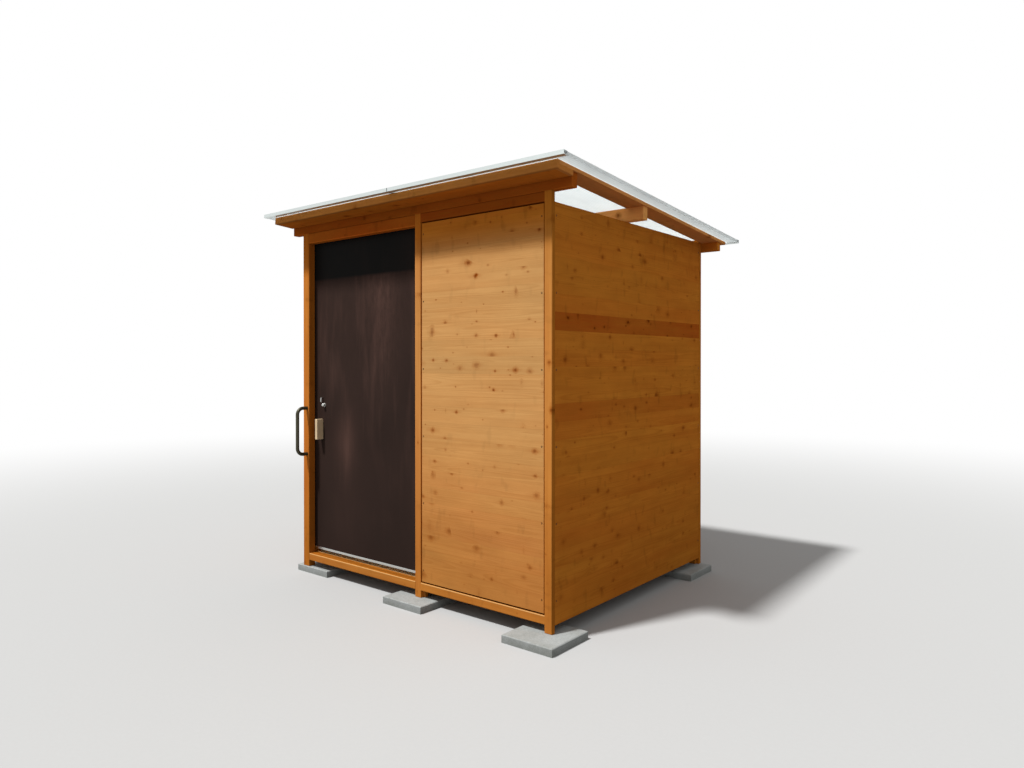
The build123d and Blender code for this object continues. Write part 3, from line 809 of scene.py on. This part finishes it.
class OUTHOUSE_OT_door(bpy.types.Operator):
    """Finish the door leaf and its pull"""

    bl_idname = "outhouse.door"
    bl_label = "Door leaf and pull"

    def execute(self, context):
        settings = context.scene.outhouse_door
        dress(["door_leaf"], film_finish(settings))
        dress(["door_pull"], beech_finish(settings))
        return {"FINISHED"}


def film_finish(settings):
    """Smooth dark film on plywood, with the eave's painted shadow across its top and painted light below,
    faint scuffs, a painted reflection, a painted light patch, a painted sheen and a fine pressed grain.
    """
    finish = Finish("film_plywood", {"Specular IOR Level": 0.01})
    x, y, z = finish.coordinates()
    cloud = finish.cloud(2.2, 4.0)
    wiped = finish.noise(x * 9.0, y * 9.0, z * 1.1, detail=4.0, roughness=0.6)
    # painted reflection: soft upright smears of light on the film
    painted_reflection = finish.noise(x * 3.4 + z * 0.4, y, z * 0.9, detail=3.0).rise(0.5, 0.72)
    pressed = finish.cloud(420.0, 2.0)
    # painted shadow of the eave over the film's top, with painted light and sun fading below it
    sun_faded_and_painted_lit = z.rise(settings.film_shaded_from + FILM_BORDER, settings.film_shaded_from - FILM_BORDER)
    # scuffs, with the painted reflection, show mostly where the film is in painted light
    scuffs_and_painted_sheen = ((wiped - 0.52).at_least(0.0) * 1.3 + painted_reflection * 0.4) * (sun_faded_and_painted_lit * 0.9 + 0.1) * z.rise(0.0, 1.7)
    pull = middle_of("door_pull")
    # a painted patch of light beside and below the pull
    sideways = (x - pull.x - PAINTED_PATCH_ASIDE).bell(PAINTED_PATCH_REACH[0])
    rubbed = sideways * (z - pull.z + PAINTED_PATCH_BELOW).bell(PAINTED_PATCH_REACH[1]) * (wiped + 0.1)
    grained = finish.noise(x * 45.0, y, z * 14.0, detail=5.0, roughness=0.7)
    # a painted sheen in a strip beside the leaf's middle, high up and in the painted light
    from_strip = x - middle_of("door_leaf").x - PAINTED_SHEEN_ASIDE + (cloud - 0.5) * 0.3
    strip = from_strip.bell(PAINTED_SHEEN_REACH) * 0.55 + 0.14
    painted_sheen = strip * z.rise(0.9, 1.8) * sun_faded_and_painted_lit * (grained * 1.2 - 0.1)
    film = finish.mix(sun_faded_and_painted_lit, settings.film, settings.film_faded_and_lit)
    film = finish.shade(film, 0.9 + z.rise(0.1, 1.3) * 0.1)
    light = cloud * 0.2 + scuffs_and_painted_sheen + rubbed * 0.55 + painted_sheen - 0.08
    body = finish.mix(light.clamped(), film, settings.film_wear_and_sheen)
    roughness = 0.36 + cloud * 0.14 + scuffs_and_painted_sheen * 0.25
    return finish.cover(body, roughness, pressed * 0.6 + cloud * 2.0, 0.00012, 0.6)


def beech_finish(settings):
    """Pale oiled hardwood with short flecks."""
    finish = Finish("oiled_beech", {"Coat Weight": 0.1, "Coat Roughness": 0.4})
    x, y, z = finish.coordinates()
    fibre = finish.noise(x * 300.0, y * 300.0, z * 8.0, detail=3.0)
    fleck = finish.noise(x * 700.0, y * 700.0, z * 90.0, detail=1.0).rise(0.6, 0.75)
    wear_and_painted_light = abs(z - middle_of("door_pull").z).rise(*PULL_HELD)
    tone = 0.92 + (fibre - 0.5) * 0.3 - fleck * 0.12 - wear_and_painted_light * 0.06
    roughness = 0.42 + fibre * 0.2 - wear_and_painted_light * 0.1
    return finish.cover(finish.shade(settings.pull, tone), roughness, fibre, 0.0001, 0.6)


class OUTHOUSE_OT_metalwork(bpy.types.Operator):
    """Finish the track, carriages, lock, staple, handle and floor guide"""

    bl_idname = "outhouse.metalwork"
    bl_label = "Metalwork"

    def execute(self, context):
        settings = context.scene.outhouse_door
        zinc = metal_finish("zinc", settings.steel, 0.42, "X", wear_and_painted_light=0.2)
        dress(["door_track", "track_stops", "door_carriages"], zinc)
        bright_steel = metal_finish("bright_steel", settings.bright_steel, 0.24, "Y")
        dress(["door_lock", "door_staple"], bright_steel)
        dress(["grab_handle"], coated_finish(settings))
        dress(["floor_guide"], plastic_finish(settings))
        return {"FINISHED"}


def coated_finish(settings):
    """Grey coated steel, rubbed smooth where hands hold it."""
    finish = Finish("grey_coat", {"Metallic": 0.6})
    z = finish.coordinates()[2]
    speck = finish.cloud(600.0, 2.0)
    cloud = finish.cloud(20.0, 3.0)
    held = abs(z - middle_of("grab_handle").z).rise(*HANDLE_HELD)
    tone = 0.95 + (cloud - 0.5) * 0.25 + held * 0.08
    roughness = 0.42 - held * 0.1 + (cloud - 0.5) * 0.2
    return finish.cover(finish.shade(settings.handle, tone), roughness, speck, 0.00005, 0.5)


def plastic_finish(settings):
    """Black moulded plastic, polished where the door runs."""
    finish = Finish("guide_plastic")
    speck = finish.cloud(500.0, 3.0)
    body = finish.shade(settings.plastic, 0.9 + speck * 0.3)
    return finish.cover(body, 0.4 + speck * 0.2, speck, 0.0001, 0.5)


class OUTHOUSE_OT_floor(bpy.types.Operator):
    """Finish the floor deck, its joists and the paving slabs"""

    bl_idname = "outhouse.floor"
    bl_label = "Floor and slabs"

    def execute(self, context):
        timber = context.scene.outhouse_timber
        settings = context.scene.outhouse_ground
        joists = Finish("floor_joists_stain")
        board = Board(joists, "YXZ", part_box("floor_joists"), SEEDS["joists"])
        dress(["floor_joists"], stain(joists, *wood(timber, board, timber.timber_clear)))
        dress(["floor_deck"], deck_finish(settings))
        dress(["slabs_front", "slabs_rear"], concrete_finish(settings))
        return {"FINISHED"}


def deck_finish(settings):
    """Birch plywood underfoot, scuffed in the middle."""
    finish = Finish("deck_plywood")
    x, y, z = finish.coordinates()
    fibre = finish.noise(x * 9.0, y * 260.0, z * 900.0, detail=4.0)
    contour = finish.noise(x * 0.5, y * 3.2, z, detail=1.5)
    veneer = (contour * 26.0).fraction().rise(0.1, 1.0)
    cloud = finish.noise(x * 0.9, y * 5.0, z, scale=3.0, detail=3.0)
    trodden = finish.cloud(5.0, 5.0).rise(0.5, 0.8)
    joint = (abs(x - settings.deck_joint) < JOINT_HALF) * 0.6
    tone = 0.94 + (fibre - 0.5) * 0.2 + (cloud - 0.5) * 0.14 - veneer * 0.1 - trodden * 0.07 - joint
    roughness = 0.5 + trodden * 0.2 + (fibre - 0.5) * 0.2
    relief = fibre + veneer * 0.3 - joint * 3.0
    return finish.cover(finish.shade(settings.deck, tone), roughness, relief, 0.0002, 0.6)


def concrete_finish(settings):
    """Cast concrete with grit, pores, worn patches and painted shade on its sides."""
    finish = Finish("slab_concrete", {"Specular IOR Level": 0.3})
    z = finish.coordinates()[2]
    cloud = finish.cloud(7.0, 5.0, 0.6)
    sand = finish.cloud(330.0, 3.0, 0.7)
    grain = finish.from_point(190.0).rise(0.3, 0.1)
    pore = finish.from_point(75.0).rise(0.16, 0.08)
    # painted shade on the slabs' sides, darkest at the foot
    painted_shade = z.rise(*SLAB_PAINTED_SHADE)
    patch = finish.cloud(70.0, 4.0, 0.7) - 0.5
    wear_and_painted_light = (cloud.rise(0.35, 0.7) * 0.6 + painted_shade * 0.35).clamped()
    body = finish.mix(wear_and_painted_light, settings.concrete, settings.concrete_dark)
    body = finish.shade(body, 1.0 - painted_shade * 0.06 + patch * 0.5)
    body = finish.mix(grain * 0.55 + pore * 0.4, body, settings.grit)
    body = finish.shade(body, 0.92 + (sand - 0.5) * 0.8)
    relief = sand * 0.5 + cloud * 0.7 - pore * 0.9 - grain * 0.2
    return finish.cover(body, 0.82 + (sand - 0.5) * 0.2, relief, 0.0012, 0.9)


def new_object(name, mesh_tool, material):
    """An object made of a bmesh, with this material, in the scene."""
    mesh = bpy.data.meshes.new(name)
    mesh_tool.to_mesh(mesh)
    mesh_tool.free()
    mesh.materials.append(material)
    made = bpy.data.objects.new(name, mesh)
    bpy.context.scene.collection.objects.link(made)
    return made


def add_piece(name, mesh_tool, material, body):
    """A finished piece made of a bmesh, riding on a body of the frame."""
    piece = new_object(name, mesh_tool, material)
    for polygon in piece.data.polygons:
        polygon.use_smooth = True
    piece.data.set_sharp_from_angle(angle=SHARP_ANGLE)
    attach(piece, body)


def set_down(mesh_tool, known, place, normal):
    """Moves what was made after the known corners from the origin to this place, +Z along the normal."""
    turn = Vector((0, 0, 1)).rotation_difference(normal).to_matrix().to_4x4()
    matrix = Matrix.Translation(place) @ turn
    bmesh.ops.transform(mesh_tool, matrix=matrix, verts=list(mesh_tool.verts)[known:])


def top_face(verts):
    """The highest face on these corners."""
    faces = (face for vert in verts for face in vert.link_faces)
    return max(faces, key=lambda face: face.calc_center_median().z)


def add_countersunk_screw(mesh_tool, place, normal, radius, segments):
    """A countersunk head with a round recess, its rim just proud of the face it sits in."""
    known = len(mesh_tool.verts)
    depth = radius * 0.9
    made = bmesh.ops.create_cone(
        mesh_tool, cap_ends=True, segments=segments, radius1=radius * 0.45, radius2=radius, depth=depth
    )
    bmesh.ops.translate(mesh_tool, verts=made["verts"], vec=(0, 0, PROUD - depth / 2))
    top = top_face(made["verts"])
    for width, rise in HEAD_STEPS:
        bmesh.ops.inset_region(mesh_tool, faces=[top], thickness=radius * width, depth=radius * rise)
    set_down(mesh_tool, known, place, normal)


def add_roof_screw(mesh_tool, place, normal, radius):
    """A hexagonal head with a collar, on a dished sealing washer of this radius."""
    known = len(mesh_tool.verts)
    height = 0.0
    for segments, low, high, depth in ROOF_SCREW_STEPS:
        made = bmesh.ops.create_cone(
            mesh_tool, cap_ends=True, segments=segments,
            radius1=radius * low, radius2=radius * high, depth=radius * depth,
        )
        height += radius * depth
        bmesh.ops.translate(mesh_tool, verts=made["verts"], vec=(0, 0, height - radius * depth / 2))
        top = top_face(made["verts"])
        bmesh.ops.inset_region(mesh_tool, faces=[top], thickness=radius * 0.05, depth=radius * 0.03)
    set_down(mesh_tool, known, place, normal)


def upper_face(name):
    """A corner and the normal of the largest face of a packed piece that looks up."""
    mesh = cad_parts[name].data
    top = max((face for face in mesh.polygons if face.normal.z > 0.9), key=lambda face: face.area)
    return mesh.vertices[top.vertices[0]].co, top.normal


class OUTHOUSE_OT_roof_screws(bpy.types.Operator):
    """Add the screws and washers of the roof sheets and their joint profile"""

    bl_idname = "outhouse.roof_screws"
    bl_label = "Roof screws"

    def execute(self, context):
        settings = context.scene.outhouse_roof
        material = metal_finish("roof_screw", settings.screw_metal, 0.4, "Z", wear_and_painted_light=0.2)
        edge = settings.washer_radius * 2
        for name in ("roof_sheet_left", "roof_sheet_right", "roof_joint_profile"):
            low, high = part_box(name)
            corner, normal = upper_face(name)
            count = math.floor(max(high.x, -low.x) / settings.screw_spacing)
            columns = [number * settings.screw_spacing for number in range(-count, count + 1)]
            columns = [x for x in columns if low.x + edge <= x <= high.x - edge]
            mesh_tool = bmesh.new()
            for beam in ("front_beam", "middle_beam", "rear_beam"):
                y = middle_of(beam).y
                for x in columns:
                    rise = (corner.x - x) * normal.x + (corner.y - y) * normal.y
                    place = (x, y, corner.z + rise / normal.z)
                    add_roof_screw(mesh_tool, place, normal, settings.washer_radius)
            add_piece(f"{name}_screws", mesh_tool, material, "root")
        return {"FINISHED"}


class OUTHOUSE_OT_panel_screws(bpy.types.Operator):
    """Add the countersunk screws along the upright edges of the wall panels"""

    bl_idname = "outhouse.panel_screws"
    bl_label = "Panel screws"

    def execute(self, context):
        settings = context.scene.outhouse_screws
        material = metal_finish("burnished_screw", settings.metal, 0.45, "Z")
        for name, layout in WALL_PANELS.items():
            low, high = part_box(name)
            width_axis = "XYZ".index(layout[0])
            face_axis = "XYZ".index(layout[2])
            face = max(low[face_axis], high[face_axis], key=abs)
            normal = Vector((0, 0, 0))
            normal[face_axis] = math.copysign(1, face)
            edges = (low[width_axis] + settings.edge_distance, high[width_axis] - settings.edge_distance)
            mesh_tool = bmesh.new()
            height = settings.lowest
            while height < high.z - 2 * settings.edge_distance:
                for edge in edges:
                    place = Vector((0, 0, height))
                    place[width_axis] = edge
                    place[face_axis] = face
                    add_countersunk_screw(mesh_tool, place, normal, settings.head_radius, settings.segments)
                height += settings.spacing
            add_piece(f"{name}_screws", mesh_tool, material, "root")
        return {"FINISHED"}


class OUTHOUSE_OT_stage(bpy.types.Operator):
    """Set up the floor, the light and the camera"""

    bl_idname = "outhouse.stage"
    bl_label = "Stage"

    def execute(self, context):
        settings = context.scene.outhouse_stage
        add_floor(settings)
        set_world(context.scene, settings)
        add_key_light(settings)
        add_camera(context.scene, settings)
        context.scene.view_settings.view_transform = "Standard"
        return {"FINISHED"}


def add_floor(settings):
    """A round floor, pale to the camera and turning white far away."""
    finish = Finish("pale_floor", {"Roughness": 0.9, "Specular IOR Level": 0.0})
    x, y = finish.coordinates()[:2]
    seen = finish.seen_directly()
    body = finish.mix(seen, (settings.floor_bounce,) * 3, settings.floor)
    speck = finish.cloud(60.0, 3.0)
    finish.feed({"Base Color": finish.shade(body, 0.98 + speck * 0.04)})
    far = (x * x + y * y).root().rise(settings.fade_start, settings.fade_end) * seen
    white = finish.add("ShaderNodeEmission", None, {"Color": WHITE, "Strength": 1.0})
    finish.show_mix(far, finish.surface, white)
    mesh_tool = bmesh.new()
    bmesh.ops.create_circle(mesh_tool, cap_ends=True, segments=96, radius=settings.floor_radius)
    floor = new_object("studio_floor", mesh_tool, finish.material)


def set_world(scene, settings):
    """Even light from all round that the camera sees as white."""
    scene.world = bpy.data.worlds.new("studio_world")
    scene.world.use_nodes = True
    sky = Graph(scene.world.node_tree, "ShaderNodeOutputWorld")
    light = sky.add("ShaderNodeBackground", None, {"Color": WHITE, "Strength": settings.sky})
    white = sky.add("ShaderNodeBackground", None, {"Color": WHITE, "Strength": 1.0})
    sky.show_mix(sky.seen_directly(), light, white)


def add_key_light(settings):
    """A broad soft lamp from the front left, high enough for the roof to shade the wall's top."""
    lamp = bpy.data.lights.new("key_light", "SUN")
    lamp.energy = settings.key
    lamp.angle = settings.key_softness
    holder = bpy.data.objects.new("key_light", lamp)
    holder.rotation_euler = Vector(settings.key_from).to_track_quat("Z", "Y").to_euler()
    bpy.context.scene.collection.objects.link(holder)


def add_camera(scene, settings):
    """The camera at the picture's viewing angle."""
    lens = bpy.data.cameras.new("studio_camera")
    lens.sensor_width = SENSOR_WIDTH
    lens.lens = settings.lens
    lens.shift_y = settings.lens_shift
    camera = bpy.data.objects.new("studio_camera", lens)
    camera.location = settings.camera_place
    camera.rotation_euler = (math.radians(90) - settings.camera_tilt, 0, settings.camera_turn)
    scene.collection.objects.link(camera)
    scene.camera = camera


SETTINGS = {
    "outhouse_timber": OuthouseTimber,
    "outhouse_roof": OuthouseRoof,
    "outhouse_door": OuthouseDoor,
    "outhouse_ground": OuthouseGround,
    "outhouse_screws": OuthouseScrews,
    "outhouse_stage": OuthouseStage,
}
OPERATORS = (
    OUTHOUSE_OT_posts,
    OUTHOUSE_OT_rails,
    OUTHOUSE_OT_roof_timbers,
    OUTHOUSE_OT_wall_panels,
    OUTHOUSE_OT_roof,
    OUTHOUSE_OT_door,
    OUTHOUSE_OT_metalwork,
    OUTHOUSE_OT_floor,
    OUTHOUSE_OT_panel_screws,
    OUTHOUSE_OT_roof_screws,
    OUTHOUSE_OT_stage,
)


class OUTHOUSE_PT_sidebar(bpy.types.Panel):
    """Steps and settings of the outhouse"""

    bl_idname = "OUTHOUSE_PT_sidebar"
    bl_label = "Wooden Outhouse"
    bl_space_type = "VIEW_3D"
    bl_region_type = "UI"
    bl_category = "Outhouse"

    def draw(self, context):
        for operator in OPERATORS:
            self.layout.operator(operator.bl_idname)
        for name, group in SETTINGS.items():
            box = self.layout.box()
            box.label(text=group.__doc__)
            for field in group.__annotations__:
                box.prop(getattr(context.scene, name), field)


def register():
    for name, group in SETTINGS.items():
        bpy.utils.register_class(group)
        setattr(bpy.types.Scene, name, PointerProperty(type=group))
    for operator in OPERATORS:
        bpy.utils.register_class(operator)
    bpy.utils.register_class(OUTHOUSE_PT_sidebar)


def unregister():
    bpy.utils.unregister_class(OUTHOUSE_PT_sidebar)
    for operator in reversed(OPERATORS):
        bpy.utils.unregister_class(operator)
    for name, group in reversed(list(SETTINGS.items())):
        delattr(bpy.types.Scene, name)
        bpy.utils.unregister_class(group)


def main():
    """Makes the pieces and the stage."""
    register()
    for operator in OPERATORS:
        area, name = operator.bl_idname.split(".")
        getattr(getattr(bpy.ops, area), name)()


if __name__ == "__main__":
    main()
